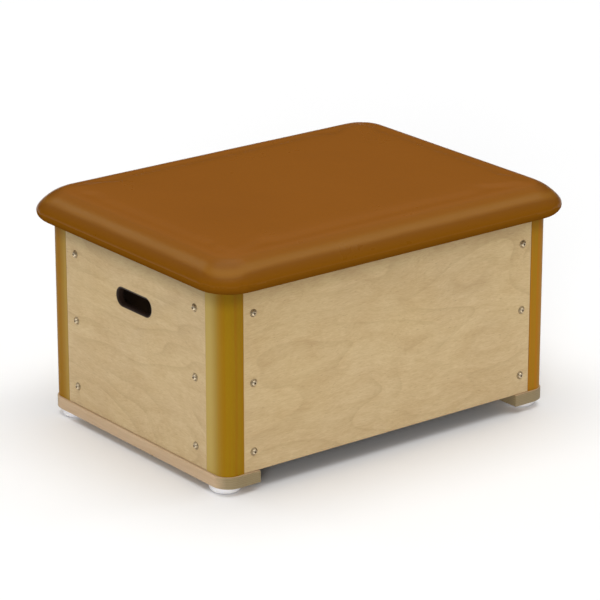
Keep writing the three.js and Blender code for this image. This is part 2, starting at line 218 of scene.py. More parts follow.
# %% Helpers for groups
def start_group(name, **values):
    """A node group that takes a place and some values, and the sockets that bring them in."""
    group = bpy.data.node_groups.new(name, "ShaderNodeTree")
    group.interface.new_socket("Vector", in_out="INPUT", socket_type="NodeSocketVector")
    for label, value in values.items():
        group.interface.new_socket(label, in_out="INPUT", socket_type="NodeSocketFloat").default_value = value
    return group, add_node(group, "NodeGroupInput").outputs


def end_group(group, **results):
    """Brings the named results out of the group."""
    for label in results:
        group.interface.new_socket(label, in_out="OUTPUT", socket_type="NodeSocketFloat")
    add_node(group, "NodeGroupOutput", results.items())
    print("group", group.name, "gives", ", ".join(results))
    return group


def add_noise(tree, place, scale, detail, roughness=0.5, distortion=0.0):
    rows = [("Vector", place), ("Scale", scale), ("Detail", detail), ("Roughness", roughness),
            ("Distortion", distortion)]
    return add_node(tree, "ShaderNodeTexNoise", rows).outputs["Fac"]


print("group helpers ready")

# %% [markdown]
# **Wood grain.** Wood shows streaks along the grain, slow clouds of tone, fine fibres and short dark flecks.
# All four are noise that is stretched along the grain. Straight streaks look printed, so the grain first
# wavers sideways by a few millimetres. Veneer is peeled from the log, which draws the year rings as long
# curved lines, like the contour lines on a map: levels of a slow noise give just that. The tone of each ring
# builds up slowly and ends at a line. The vector that comes in has its x along the grain.

# %% Group: wood grain
def stretched_noise(tree, place, stretch, detail, distortion=0.0):
    """Noise whose x, y and z run at their own rates."""
    return add_noise(tree, add_vector(tree, "MULTIPLY", place, stretch)[0], 1.0, detail, 0.6, distortion)


ring_count = 13.0
tree, given = start_group("wood_grain", Along=3.0, Across=200.0, Waver=0.02)
waver = minus(tree, add_noise(tree, given["Vector"], 4.5, 1.5), 0.5)
waver = times(tree, waver, given["Waver"])
place = add_vector(tree, "ADD", given["Vector"], combine_xyz(tree, Y=waver, Z=waver))[0]
stretch = combine_xyz(tree, X=given["Along"], Y=given["Across"], Z=given["Across"])
height = times(tree, stretched_noise(tree, place, (1.5, 5.2, 5.2), 1.4, 0.25), ring_count)
phase = add_math(tree, "FRACT", height)
build = add_math(tree, "POWER", add_range(tree, phase, 0.1, 0.95), 3.0)
line = times(tree, build, add_range(tree, phase, 1.0, 0.95))
strength = add_range(tree, stretched_noise(tree, place, (6.0, 16.0, 16.0), 2.0), 0.34, 0.58)
wood_grain = end_group(
    tree,
    Streaks=stretched_noise(tree, place, stretch, 4.0, 0.3),
    Clouds=stretched_noise(tree, place, (9.0, 20.0, 20.0), 5.0, 1.5),
    Fibres=stretched_noise(tree, place, (75.0, 640.0, 640.0), 2.0),
    Flecks=add_range(tree, stretched_noise(tree, place, (90.0, 520.0, 520.0), 1.0), 0.66, 0.74),
    Rings=times(tree, line, strength),
)

# %% [markdown]
# **Plywood layers.** A sawn edge of plywood shows its veneers as thin stripes, light where the grain runs
# along the edge and dark where it is cut across. Depth through the board, from 0 to 1, picks the layer.

# %% Group: plywood layers
tree, given = start_group("ply_layers", Depth=0.5, Layers=11.0)
depth = times(tree, given["Depth"], given["Layers"])
shift = times(tree, add_noise(tree, given["Vector"], 60.0, 2.0), 0.35)
phase = add_math(tree, "PINGPONG", plus(tree, depth, shift), 1.0)
ply_layers = end_group(tree, Dark=add_range(tree, phase, 0.42, 0.58))

# %% [markdown]
# **Rubbed edges.** Lacquer wears first on an arris. Cycles can round a shading normal near an edge, and
# where that normal leaves the true one there is an edge. Noise breaks the line up, as real wear does.

# %% Group: rubbed edges
tree, given = start_group("rubbed_edges", Radius=2 * MM, Patches=40.0)
rounded = add_node(tree, "ShaderNodeBevel", [("Radius", given["Radius"])], samples=6).outputs[0]
true_normal = add_node(tree, "ShaderNodeNewGeometry").outputs["Normal"]
bend = add_vector(tree, "DOT_PRODUCT", rounded, true_normal)["Value"]
patches = add_range(tree, add_noise(tree, given["Vector"], given["Patches"], 4.0), 0.4, 0.62)
rubbed_edges = end_group(tree, Mask=times(tree, add_range(tree, bend, 0.995, 0.8), patches))

# %% [markdown]
# ** Signs of use.** Hands leave smudges that change the gloss, and near the floor the surface is greyer and
# darker in patches. Both are gentle here, because the box in the picture is nearly new. The values that come
# in are how fine the smudges are and how high the patches reach.

# %% Group: signs of use
tree, given = start_group("signs_of_use", Smudging=9.0, Dusting=50 * MM)
smudges = add_noise(tree, given["Vector"], given["Smudging"], 5.0, 0.7, 0.8)
# Greyer and darker towards the floor, in patches.
level = add_math(tree, "DIVIDE", split_xyz(tree, given["Vector"])["Z"], given["Dusting"])
patchiness = add_range(tree, add_noise(tree, given["Vector"], 70.0, 6.0, 0.7), 0.35, 0.7)
signs_of_use = end_group(tree, Smudges=add_range(tree, smudges, 0.35, 0.75),
                         Dust=times(tree, add_range(tree, level, 1.0, 0.0), patchiness))

# %% [markdown]
# ** Painted shade under the overhang.** Right under the overhang the walls and the posts are painted darker
# as shade, in a soft strip that fades within a few centimetres.

# %% Group: painted shade under the overhang
overhang_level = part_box("pad_cover")[0].z
strip_reach, strip_full = 43 * MM, 10 * MM
tree, given = start_group("overhang_painted_shade")
strip = add_range(tree, split_xyz(tree, given["Vector"])["Z"],
                  overhang_level - strip_reach, overhang_level - strip_full, shape="SMOOTHSTEP")
overhang_painted_shade = end_group(tree, Mask=strip)


# %% Helpers for materials
def colour(red, green, blue):
    """A colour as it looks on a screen, 0 to 255, in the linear values that shaders work in."""
    def linear(value):
        share = value / 255
        return share / 12.92 if share <= 0.04045 else ((share + 0.055) / 1.055) ** 2.4
    return (linear(red), linear(green), linear(blue), 1.0)


def start_material(name, roughness, specular, metallic=0.0):
    """A material with one Principled shader. What is the same all over is set on the shader itself."""
    made = bpy.data.materials.new(name)
    made.use_nodes = True
    tree = made.node_tree
    tree.nodes.clear()
    shader = add_node(tree, "ShaderNodeBsdfPrincipled",
                      [("Roughness", roughness), ("Specular IOR Level", specular), ("Metallic", metallic)])
    add_node(tree, "ShaderNodeOutputMaterial", [("Surface", shader.outputs[0])])
    return made, tree, shader, add_node(tree, "ShaderNodeTexCoord").outputs["Object"]


def add_group(tree, group, place, **values):
    rows = [("Vector", place), *values.items()]
    return add_node(tree, "ShaderNodeGroup", rows, node_tree=group).outputs


def set_coat(tree, shader, tone, use, sleek, matt, dulled=None):
    """Links the colour, and a roughness that smudges vary from sleek to matt and that a mask can raise."""
    satin = add_range(tree, use["Smudges"], 0.0, 1.0, sleek, matt)
    if dulled is not None:
        satin = plus(tree, satin, dulled)
    tree.links.new(tone, shader.inputs["Base Color"])
    tree.links.new(satin, shader.inputs["Roughness"])


def add_bump(tree, shader, height, distance, strength=1.0):
    bump = add_node(tree, "ShaderNodeBump",
                    [("Height", height), ("Distance", distance), ("Strength", strength)])
    tree.links.new(bump.outputs[0], shader.inputs["Normal"])


def facing_xyz(tree):
    """The way that the surface faces, in the object's own axes."""
    return split_xyz(tree, add_node(tree, "ShaderNodeTexCoord").outputs["Normal"])


def add_grain(tree, place, axis, **values):
    """The wood grain, with the place turned so that its x runs along the named axis."""
    split = split_xyz(tree, place)
    order = {"X": "XYZ", "Y": "YXZ", "Z": "ZXY"}[axis]
    turned = combine_xyz(tree, **{target: split[source] for target, source in zip("XYZ", order)})
    return add_group(tree, wood_grain, turned, **values)


print("material helpers ready")

# %% [markdown]
# ## Birch plywood
#
# The walls are clear-lacquered birch: a pale, quiet wood with soft wavering figure, fine fibres and a few
# short flecks. The sawn edges show the layers. The arris next to a post has a painted highlight, the routed
# lip of a hand hole painted shade, and the inside faces are painted dark as shade, so a hand hole looks
# black.
# The long walls and the end walls need other grain and thickness axes, so one function makes both finishes.

# %% Birch finish
birch_pale = colour(209, 185, 141)
birch_warm = colour(192, 163, 119)
birch_line = colour(166, 136, 94)
birch_fleck = colour(152, 121, 84)
birch_layer = colour(137, 101, 64)
# Painted highlight on the arris next to a post.
birch_edge_highlight = colour(206, 174, 120)
birch_honey = (1.0, 0.99, 0.94, 1.0)
birch_low_grey = colour(172, 162, 146)
# Painted shade inside the box and on the lip of a hand hole.
inside_painted_shade = colour(92, 70, 48)
lip_painted_shade = colour(44, 31, 24)
# Painted shade under the overhang, as factors on the colour of the posts, the long walls and the end walls.
painted_shade_posts = (0.68, 0.66, 0.6, 1.0)
painted_shade_sides = (0.76, 0.74, 0.69, 1.0)
painted_shade_ends = (0.61, 0.61, 0.56, 1.0)
figure_shares = {"Streaks": 0.25, "Clouds": 0.33, "Fibres": 0.42}
edge_highlight_width = 3.5 * MM
hand_hole_half_y, hand_hole_low, hand_hole_high = 55 * MM, 278 * MM, 314 * MM
lip_reach, lip_edge, lip_full, lip_spread = 3 * MM, 0.03 * MM, 0.6 * MM, 1.6 * MM


def lip_shade_mask(tree, split, from_face):
    """Where painted shade darkens a hand hole's rim: the distance from a long round-ended hole, and the depth
    behind the face.
    """
    hole_middle = (hand_hole_low + hand_hole_high) / 2
    hole_round = hand_hole_high - hole_middle
    sideways = minus(tree, add_math(tree, "ABSOLUTE", split["Y"]), hand_hole_half_y - hole_round)
    upwards = minus(tree, split["Z"], hole_middle)
    way_out = combine_xyz(tree, X=add_math(tree, "MAXIMUM", sideways, 0.0), Y=upwards)
    from_hole = minus(tree, add_vector(tree, "LENGTH", way_out)["Value"], hole_round)
    inner = times(tree, add_range(tree, from_face, lip_edge, lip_full),
                  add_math(tree, "LESS_THAN", from_hole, lip_reach))
    return add_math(tree, "MAXIMUM", inner, add_range(tree, from_hole, lip_spread, lip_full))


def birch_finish(name, grain_axis, depth_axis, outer_face, thickness, half_length, edge_highlight_share, shade):
    """Plywood for a wall: the outer face and the half length are measured from the middle of the box."""
    made, tree, shader, place = start_material(name, 0.45, 0.2)
    grain = add_grain(tree, place, grain_axis, Along=13.0, Across=95.0, Waver=0.06)
    use = add_group(tree, signs_of_use, place)
    split = split_xyz(tree, place)
    figure = 0.0
    for part, share in figure_shares.items():
        figure = plus(tree, figure, times(tree, grain[part], share))
    tone = add_mix(tree, add_range(tree, figure, 0.38, 0.62), birch_pale, birch_warm)
    tone = add_mix(tree, times(tree, grain["Rings"], 0.3), tone, birch_line)
    tone = add_mix(tree, times(tree, grain["Flecks"], 0.3), tone, birch_fleck)
    warmth = plus(tree, add_noise(tree, place, 6.0, 2.0), times(tree, split["Z"], 1.2))
    tone = add_mix(tree, add_range(tree, warmth, 0.6, 1.05), tone, birch_honey, "MULTIPLY")
    from_end = minus(tree, half_length, add_math(tree, "ABSOLUTE", split[grain_axis]))
    # Painted highlight along the arris next to a post.
    edge_highlight = add_range(tree, from_end, edge_highlight_width, 0.4 * edge_highlight_width, 0.0, edge_highlight_share)
    tone = add_mix(tree, edge_highlight, tone, birch_edge_highlight)
    from_face = minus(tree, outer_face, add_math(tree, "ABSOLUTE", split[depth_axis]))
    depth = add_math(tree, "DIVIDE", from_face, thickness)
    layers = add_group(tree, ply_layers, place, Depth=depth)
    on_edge = add_range(tree, add_math(tree, "ABSOLUTE", facing_xyz(tree)[depth_axis]), 0.85, 0.6)
    tone = add_mix(tree, on_edge, tone, add_mix(tree, layers["Dark"], birch_warm, birch_layer))
    # Painted shade: the inside faces are dark, so a hand hole looks black.
    tone = add_mix(tree, add_range(tree, depth, 0.96, 0.99), tone, inside_painted_shade)
    # Greyer and darker towards the floor, in patches.
    tone = add_mix(tree, times(tree, use["Dust"], 0.3), tone, birch_low_grey)
    # Painted shade under the overhang.
    tone = add_mix(tree, add_group(tree, overhang_painted_shade, place)["Mask"], tone, shade, "MULTIPLY")
    # Painted shade on the lip of a hand hole.
    if depth_axis == "X":
        tone = add_mix(tree, lip_shade_mask(tree, split, from_face), tone, lip_painted_shade)
    set_coat(tree, shader, tone, use, 0.4, 0.55)
    add_bump(tree, shader, figure, 0.2 * MM, 0.5)
    return made


side_low, side_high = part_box("front_panel")
end_low, end_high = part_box("left_panel")
birch_sides = birch_finish("birch_sides", "X", "Y", -side_low.y, side_high.y - side_low.y, side_high.x,
                           0.5, painted_shade_sides)
birch_ends = birch_finish("birch_ends", "Y", "X", -end_low.x, end_high.x - end_low.x, end_high.y,
                          0.2, painted_shade_ends)
print("birch", birch_sides.name, birch_ends.name)

# %% [markdown]
# ## Golden posts
#
# The corner posts are hardwood under an ochre lacquer. A painted sheen turns the end faces paler gold towards
# the panel, so the colour is mixed by the distance from the corner. No two posts are alike: on some the
# painted sheen starts further from the corner, or the ochre is redder.

# %% Post finish
lacquer_rubbed = colour(196, 168, 112)
# Painted sheen: the paler gold that the end faces turn to towards the panel.
painted_end_sheen = colour(184, 158, 86)
olive_gold = (colour(150, 114, 11), colour(152, 106, 10), colour(140, 98, 8))
amber_gold = (colour(151, 109, 4), colour(153, 103, 6), colour(141, 94, 4))
orange_gold = (colour(158, 117, 18), colour(172, 110, 20), colour(160, 108, 14))
body_half_x, body_half_y = (-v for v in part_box("front_left_post")[0].xy)


def post_finish(name, tones, sheen_starts, sheen_full):
    plain_tone, streak_tone, fibre_tone = tones
    made, tree, shader, place = start_material(name, 0.4, 0.06)
    grain = add_grain(tree, place, "Z", Along=0.7, Across=120.0, Waver=0.004)
    use = add_group(tree, signs_of_use, place, Smudging=14.0)
    edges = add_group(tree, rubbed_edges, place, Radius=1.2 * MM, Patches=55.0)
    across = add_math(tree, "ABSOLUTE", split_xyz(tree, place)["Y"])
    from_corner = minus(tree, body_half_y, across)
    tone = add_mix(tree, add_range(tree, grain["Streaks"], 0.42, 0.62), plain_tone, streak_tone)
    tone = add_mix(tree, add_range(tree, grain["Fibres"], 0.35, 0.75, 0.0, 0.3), tone, fibre_tone)
    # Painted sheen: the end faces turn paler gold towards the panel.
    end_sheen_share = add_range(tree, from_corner, sheen_starts, sheen_full, shape="SMOOTHSTEP")
    tone = add_mix(tree, end_sheen_share, tone, painted_end_sheen)
    tone = add_mix(tree, times(tree, edges["Mask"], 0.25), tone, lacquer_rubbed)
    # Painted shade under the overhang.
    tone = add_mix(tree, add_group(tree, overhang_painted_shade, place)["Mask"], tone, painted_shade_posts, "MULTIPLY")
    set_coat(tree, shader, tone, use, 0.34, 0.5)
    add_bump(tree, shader, grain["Fibres"], 0.08 * MM, 0.4)
    return made


post_finishes = {
    "front_left": post_finish("post_olive", olive_gold, 7 * MM, 46 * MM),
    "back_left": post_finish("post_amber", amber_gold, 28 * MM, 76 * MM),
    "front_right": post_finish("post_orange", orange_gold, 7 * MM, 46 * MM),
    "back_right": post_finish("post_plain", orange_gold, 28 * MM, 76 * MM),
}
print("posts", [made.name for made in post_finishes.values()])

# %% [markdown]
# ## Rails, cleats and board
#
# The rails under the ends are a plainer, browner timber. Their grain runs across the box, so the faces at the
# front and back are end grain, darker as end grain and as painted shade, and the inner faces get the same
# dark tone as painted shade. The cleats and the board are hidden inside and stay bare.

# %% Rail finish
rail_face = colour(206, 178, 143)
rail_streak = colour(191, 161, 126)
# Dark tones for end grain, which also serve as painted shade on the end and inner faces.
rail_dark_grain_and_shade = colour(149, 132, 97)
rail_dark_ring_and_shade = colour(139, 121, 88)
rail_rubbed = colour(205, 186, 156)
rail_low_grey = colour(175, 168, 155)

rail_finish, tree, shader, place = start_material("rail_finish", 0.55, 0.25)
grain = add_grain(tree, place, "Y", Along=9.0, Across=150.0)
use = add_group(tree, signs_of_use, place, Dusting=40 * MM)
edges = add_group(tree, rubbed_edges, place, Radius=2 * MM, Patches=45.0)
split, facing = split_xyz(tree, place), facing_xyz(tree)
ring_place = combine_xyz(tree, X=split["X"], Z=split["Z"])
rings = add_node(tree, "ShaderNodeTexWave",
                 [("Vector", ring_place), ("Scale", 90.0), ("Distortion", 3.0), ("Detail", 3.0)],
                 wave_type="RINGS")
inward = times(tree, facing["X"], add_math(tree, "SIGN", split["X"]))
end_grain_and_painted_shade = add_math(tree, "MAXIMUM", add_math(tree, "ABSOLUTE", facing["Y"]), times(tree, inward, -1.0))
tone = add_mix(tree, add_range(tree, grain["Streaks"], 0.3, 0.75), rail_face, rail_streak)
end_grain_and_shade_tone = add_mix(tree, rings.outputs["Fac"], rail_dark_grain_and_shade, rail_dark_ring_and_shade)
# End grain is darker; the same dark tone on the end and inner faces is also painted shade.
tone = add_mix(tree, add_range(tree, end_grain_and_painted_shade, 0.1, 0.75), tone, end_grain_and_shade_tone)
tone = add_mix(tree, times(tree, edges["Mask"], 0.12), tone, rail_rubbed)
# Greyer and darker towards the floor, in patches.
tone = add_mix(tree, times(tree, use["Dust"], 0.3), tone, rail_low_grey)
set_coat(tree, shader, tone, use, 0.5, 0.65)
add_bump(tree, shader, grain["Fibres"], 0.3 * MM, 0.5)
print("rails", rail_finish.name)


# %% Cleat and board finishes
def bare_timber(name, grain_axis, pale, dark):
    made, tree, shader, place = start_material(name, 0.7, 0.2)
    grain = add_grain(tree, place, grain_axis, Along=6.0, Across=140.0)
    use = add_group(tree, signs_of_use, place, Smudging=6.0)
    tone = add_mix(tree, add_range(tree, grain["Streaks"], 0.3, 0.7), pale, dark)
    tone = add_mix(tree, add_range(tree, grain["Clouds"], 0.5, 0.8, 0.0, 0.4), tone, dark)
    set_coat(tree, shader, tone, use, 0.62, 0.78)
    add_bump(tree, shader, grain["Fibres"], 0.4 * MM, 0.6)
    return made


cleat_tones = (colour(206, 176, 126), colour(178, 140, 90))
cleat_sides = bare_timber("cleat_sides", "X", *cleat_tones)
cleat_ends = bare_timber("cleat_ends", "Y", *cleat_tones)
board_finish = bare_timber("board_finish", "X", colour(200, 172, 128), colour(176, 144, 100))
print("timber", cleat_sides.name, cleat_ends.name, board_finish.name)

# %% [markdown]
# ## Finishing the frame's own pieces
#
# Most pieces already have their true shape, so they stay and only get their finish. Their roundings are
# made of flat facets: welding the corners and splitting the surface at sharp edges makes them shade
# smoothly, and moves nothing.

# %% Give the frame nodes their finish
smooth_angle = math.radians(32)
weld_distance = 0.01 * MM


def shade_smooth(mesh):
    mesh.polygons.foreach_set("use_smooth", [True] * len(mesh.polygons))


def dress_node(name, material):
    node = nodes[name]
    node.data.materials.clear()
    node.data.materials.append(material)
    for layer in ("custom_normal", "sharp_edge"):
        found = node.data.attributes.get(layer)
        if found is not None:
            node.data.attributes.remove(found)
    shade_smooth(node.data)
    node.modifiers.new("weld", "WELD").merge_threshold = weld_distance
    split_edges = node.modifiers.new("smooth_rounds", "EDGE_SPLIT")
    split_edges.split_angle = smooth_angle
    split_edges.use_edge_sharp = False


dressed = {"pad_board": board_finish}
for walls, panel_material, cleat_material in ((("front", "back"), birch_sides, cleat_sides),
                                              (("left", "right"), birch_ends, cleat_ends)):
    for wall in walls:
        dressed[f"{wall}_panel"] = panel_material
        dressed[f"{wall}_cleat"] = cleat_material
for corner, material in post_finishes.items():
    dressed[f"{corner}_post"] = material
dressed["left_rail"] = dressed["right_rail"] = rail_finish
for name, material in dressed.items():
    dress_node(name, material)
print("dressed", len(dressed), "frame nodes")

# %% [markdown]
# ## The leather top
#
# A firm pad under brown leather, pulled over the board's edge and turned under it. Its top is nearly flat,
# its shoulders are rounded and slope inwards, and below its widest line it draws in. Padding can be
# modelled by hand, but leather that is stretched over foam finds its own fullness, so the shape starts a
# little too small and is blown up as cloth under pressure, with the flat underside held.

# %% Sizes of the pad
pad_low, pad_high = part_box("pad_cover")
pad_half_x = (pad_high.x - pad_low.x) / 2
pad_half_y = (pad_high.y - pad_low.y) / 2
pad_corner = 70 * MM
tuck_width, tuck_height = 18 * MM, 20 * MM
shoulder_width, shoulder_height = 54 * MM, 39 * MM
shoulder_slope_share = 0.65
corner_share = 0.6
tightest = 3 * MM
crown = pad_high.z - pad_low.z - tuck_height - shoulder_height
leather_thickness = 2 * MM
widest_level = pad_low.z + tuck_height
print("pad", round(2 * pad_half_x, 3), "x", round(2 * pad_half_y, 3), "m, crown", round(crown / MM, 1), "mm")

# %% Rings and lofts
corner_steps, tuck_steps, shoulder_steps = 12, 7, 14


def rounded_ring(half_x, half_y, radius, z):
    """Points of a rounded rectangle, anticlockwise from above."""
    radius = min(radius, 0.98 * half_x, 0.98 * half_y)
    points = []
    for quarter, (sx, sy) in enumerate(((1, 1), (-1, 1), (-1, -1), (1, -1))):
        for step in range(corner_steps + 1):
            angle = math.pi / 2 * (quarter + step / corner_steps)
            points.append(Vector((sx * (half_x - radius) + radius * math.cos(angle),
                                  sy * (half_y - radius) + radius * math.sin(angle), z)))
    return points


def pad_rings(skin, sink, rise):
    """Rings from the underside up: a skin moves them inwards, a sink down, a rise lifts the middle."""
    rows = []
    for i in range(tuck_steps):
        angle = math.pi / 2 * i / tuck_steps
        rows.append((skin + tuck_width * (1 - math.sin(angle)),
                     widest_level - (tuck_height - skin) * math.cos(angle)))
    for i in range(shoulder_steps + 1):
        angle = math.pi / 2 * i / shoulder_steps
        rows.append((skin + (shoulder_width - skin) * (1 - math.cos(angle)) ** shoulder_slope_share,
                     widest_level + (shoulder_height - sink) * math.sin(angle)))
    middle = pad_half_y - shoulder_width - tightest
    for share in (0.05, 0.1, 0.17, 0.25, 0.35, 0.5, 0.7, 0.97):
        swell = share * (2 - share) * min(1.0, share / 0.3 + 0.2)
        rows.append((shoulder_width + share * middle, widest_level + shoulder_height - sink + rise * swell))
    return [rounded_ring(pad_half_x - inset, pad_half_y - inset,
                         max(pad_corner - corner_share * inset, tightest), z) for inset, z in rows]


def finish_mesh(built, name):
    mesh = bpy.data.meshes.new(name)
    built.to_mesh(mesh)
    built.free()
    return mesh


def bridge(built, low_row, high_row):
    """Faces between two rings of points, one of which may be a single point."""
    count = max(len(low_row), len(high_row))
    for i in range(count):
        j = (i + 1) % count
        around = [row[k % len(row)] for row, k in ((low_row, i), (low_row, j), (high_row, j), (high_row, i))]
        built.faces.new(list(dict.fromkeys(around)))


def loft_mesh(name, rings):
    """A closed mesh through rings of equal count, from the lowest to the highest."""
    built = bmesh.new()
    rows = [[built.verts.new(point) for point in ring] for ring in rings]
    for low_row, high_row in zip(rows, rows[1:]):
        bridge(built, low_row, high_row)
    built.faces.new(rows[0][::-1])
    built.faces.new(rows[-1])
    return finish_mesh(built, name)


def add_piece(name, mesh):
    """A new smooth piece. Riding on the body comes once its shape is final."""
    shade_smooth(mesh)
    return put_in_scene(name, mesh)


def apply_modifiers(piece):
    """Replaces the object's mesh by what its modifiers make of it."""
    graph = bpy.context.evaluated_depsgraph_get()
    final = bpy.data.meshes.new_from_object(piece.evaluated_get(graph), depsgraph=graph)
    piece.modifiers.clear()
    piece.data = final


def vectors_of(mesh, what="co"):
    """One row of x, y and z for each point: its place, or its normal."""
    values = np.empty(len(mesh.vertices) * 3)
    mesh.vertices.foreach_get(what, values)
    return values.reshape(-1, 3)


print("loft helpers ready")

# %% A start shape with a sunken top, remeshed in even squares
start_skin = 0.2 * MM
start_sink = -0.4 * MM
start_rise = 1.6 * MM
voxel = 6 * MM
start_rings = pad_rings(start_skin, start_sink, start_rise)
leather_top = add_piece("leather_top", loft_mesh("leather_top", start_rings))
remesh = leather_top.modifiers.new("even_squares", "REMESH")
remesh.mode = "VOXEL"
remesh.voxel_size = voxel
apply_modifiers(leather_top)
print("start shape", len(leather_top.data.vertices), "points")

# %% [markdown]
# The leather is nailed below, so everything under the widest line is held. The pressure lifts the rest. Where
# the skin would be drawn inwards, the firm foam behind it does not give, so that part of a move is left out,
# and what remains is eased towards a limit instead of being cut off.

# %% Blow the leather up over the foam
cloth_settings = {
    "quality": 5, "mass": 0.4, "tension_stiffness": 25, "compression_stiffness": 25, "shear_stiffness": 12,
    "bending_stiffness": 4, "use_pressure": True, "uniform_pressure_force": 4.0, "vertex_group_mass": "held",
}
most_move = 2.4 * MM
frames = 20
rest_places = vectors_of(leather_top.data)
rest_normals = vectors_of(leather_top.data, "normal")
held = leather_top.vertex_groups.new(name="held")
nailed = np.flatnonzero(rest_places[:, 2] < widest_level)
held.add([int(i) for i in nailed], 1.0, "REPLACE")
cloth = leather_top.modifiers.new("stretch", "CLOTH")
for setting, value in cloth_settings.items():
    setattr(cloth.settings, setting, value)
cloth.settings.effector_weights.gravity = 0.0
cloth.point_cache.frame_start = 1
cloth.point_cache.frame_end = frames
for step in range(1, frames + 1):
    bpy.context.scene.frame_set(step)
apply_modifiers(leather_top)
bpy.context.scene.frame_set(1)
moves = vectors_of(leather_top.data) - rest_places
outward = np.sum(moves * rest_normals, axis=1)
moves -= np.minimum(outward, 0.0)[:, None] * rest_normals
lengths = np.maximum(np.linalg.norm(moves, axis=1), 1e-9)
moves *= (most_move * np.tanh(lengths / most_move) / lengths)[:, None]
print("moved up to", round(float(lengths.max()) / MM, 1), "mm, eased to", round(most_move / MM, 1), "mm")

# %% [markdown]
# The cloth leaves a trace of its squares in the surface. Moving each point to the middle of its neighbours
# would smooth it but shrink the pad, so every such step is followed by a slightly larger one back. A slow
# ripple then keeps the top from looking machined.

# %% Settle the leather
settle_rounds, smooth_share, regain_share = 12, 0.6, -0.62
ripple = 0.25 * MM
edges = np.empty(2 * len(leather_top.data.edges), dtype=int)
leather_top.data.edges.foreach_get("vertices", edges)
edge_from, edge_to = edges.reshape(-1, 2).T
edge_count = np.bincount(edges, minlength=len(rest_places))[:, None]


def relax(places, share):
    """Moves every point a share of the way to the middle of its neighbours."""
    total = np.zeros_like(places)
    np.add.at(total, edge_from, places[edge_to])
    np.add.at(total, edge_to, places[edge_from])
    return places + share * (total / edge_count - places)


settled = rest_places + moves
for _ in range(settle_rounds):
    settled = relax(relax(settled, smooth_share), regain_share)
for i, place_now in enumerate(settled):
    point = Vector(place_now)
    lift = noise.noise(point * 7.0) + 0.5 * noise.noise(point * 16.0)
    if point.z > widest_level + 0.5 * shoulder_height:
        settled[i, 2] += ripple * lift
leather_top.data.vertices.foreach_set("co", settled.ravel())
leather_top.data.update()
print("top at", round(float(settled[:, 2].max()), 4), "underside at", round(float(settled[:, 2].min()), 4))

# %% [markdown]
# Below, the leather is turned under and ends just outside the walls. The faces within that mouth are cut
# away and the rim is drawn onto its line, before the skin gets its thickness inwards.

# %% Open the underside
flap_gap = 8 * MM
flat_band = 2.5 * MM
flat_level = pad_low.z + start_skin + flat_band
mouth_half_x, mouth_half_y = body_half_x + flap_gap, body_half_y + flap_gap
mouth_corner = 34 * MM


def mouth_distance(x, y):
    """How far a point lies outside the rounded mouth, negative inside, and the way out."""
    dx = abs(x) - (mouth_half_x - mouth_corner)
    dy = abs(y) - (mouth_half_y - mouth_corner)
    outside = Vector((max(dx, 0.0), max(dy, 0.0)))
    distance = outside.length + min(max(dx, dy), 0.0) - mouth_corner
    if outside.length > 0:
        way = outside.normalized()
    else:
        way = Vector((1, 0)) if dx > dy else Vector((0, 1))
    return distance, Vector((math.copysign(way.x, x), math.copysign(way.y, y)))


shell = bmesh.new()
shell.from_mesh(leather_top.data)
inner_faces = [
    face for face in shell.faces
    if face.calc_center_median().z < flat_level and mouth_distance(*face.calc_center_median().xy)[0] < 0
]
bmesh.ops.delete(shell, geom=inner_faces, context="FACES")
for vertex in shell.verts:
    if vertex.is_boundary:
        distance, way = mouth_distance(vertex.co.x, vertex.co.y)
        vertex.co.x -= distance * way.x
        vertex.co.y -= distance * way.y
    if vertex.co.z < flat_level:
        vertex.co.z -= start_skin * min(1.0, (flat_level - vertex.co.z) / flat_band)
shell.to_mesh(leather_top.data)
shell.free()
leather_top.data.update()
print("opened below, faces left", len(leather_top.data.polygons))

# %% Give the leather its thickness and round it off
skin = leather_top.modifiers.new("thickness", "SOLIDIFY")
skin.thickness = leather_thickness
skin.offset = -1.0
skin.use_rim = True
apply_modifiers(leather_top)
finer = leather_top.modifiers.new("finer", "SUBSURF")
finer.levels = finer.render_levels = 1
apply_modifiers(leather_top)
shade_smooth(leather_top.data)
print("leather top", len(leather_top.data.polygons), "faces")

# %% [markdown]
# The leather itself is smooth and brown with a satin sheen. Close up it has pores and a fine pebble, and its
# tone drifts slowly. Light and shade are painted into it by the way it faces: paler on top, a painted
# highlight along the crest of the shoulders, and painted shade on its sides, round the corners and where it
# turns under.
# A colour ramp over the upward part of the surface normal holds these tones in one list. Where the leather is
# turned under it was never polished, so there it gets a second, dull finish.

# %% Leather finish
# Tones by the upward part of the normal: the leather's brown with painted light, a painted highlight on the
# crest of the shoulders and painted shade on the sides; turned under, the painted shade grows darker the more
# the leather faces down, and the crest round the corners gets painted shade.
leather_tones_with_painted_light = {
    -0.3: (120, 72, 8), 0.1: (126, 77, 9), 0.5: (123, 75, 8), 0.69: (119, 71, 8), 0.75: (134, 86, 20),
    0.81: (134, 86, 20), 0.87: (131, 78, 5), 0.96: (132, 78, 5), 0.998: (140, 82, 7),
}
turned_tones_with_painted_shade = {-0.95: (98, 60, 10), -0.3: (120, 74, 12), 0.0: (124, 77, 14)}
painted_corner_shade = colour(122, 72, 3)
leather_pore = colour(112, 62, 4)
leather_sheen = colour(255, 232, 188)
turned_reach, turned_slope = 3 * MM, 0.06


